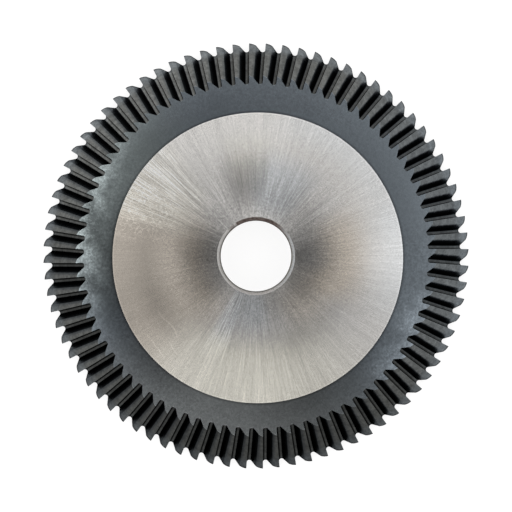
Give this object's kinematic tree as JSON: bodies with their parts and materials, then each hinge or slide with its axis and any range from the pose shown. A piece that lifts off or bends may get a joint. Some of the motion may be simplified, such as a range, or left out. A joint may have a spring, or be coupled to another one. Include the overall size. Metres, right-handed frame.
{
  "type": "key cutting wheel",
  "caption": "Flat steel cutting wheel with a plain bore, a sloping toothed flank and saw-form teeth round its rim.",
  "frame": {"origin": "centre of the bore on the ground back face, on which the wheel lies", "axes": "+Z along the bore towards the toothed front face; the first tooth tip stands 1.88 degrees anticlockwise from +X"},
  "size_m": [0.0666, 0.0666, 0.0073],
  "materials": {
    "tool_steel": "clamping faces and bore ground bright, ring and teeth oxide black"
  },
  "bodies": {
    "root": {"cutting_wheel": "tool_steel"}
  },
  "joints": []
}
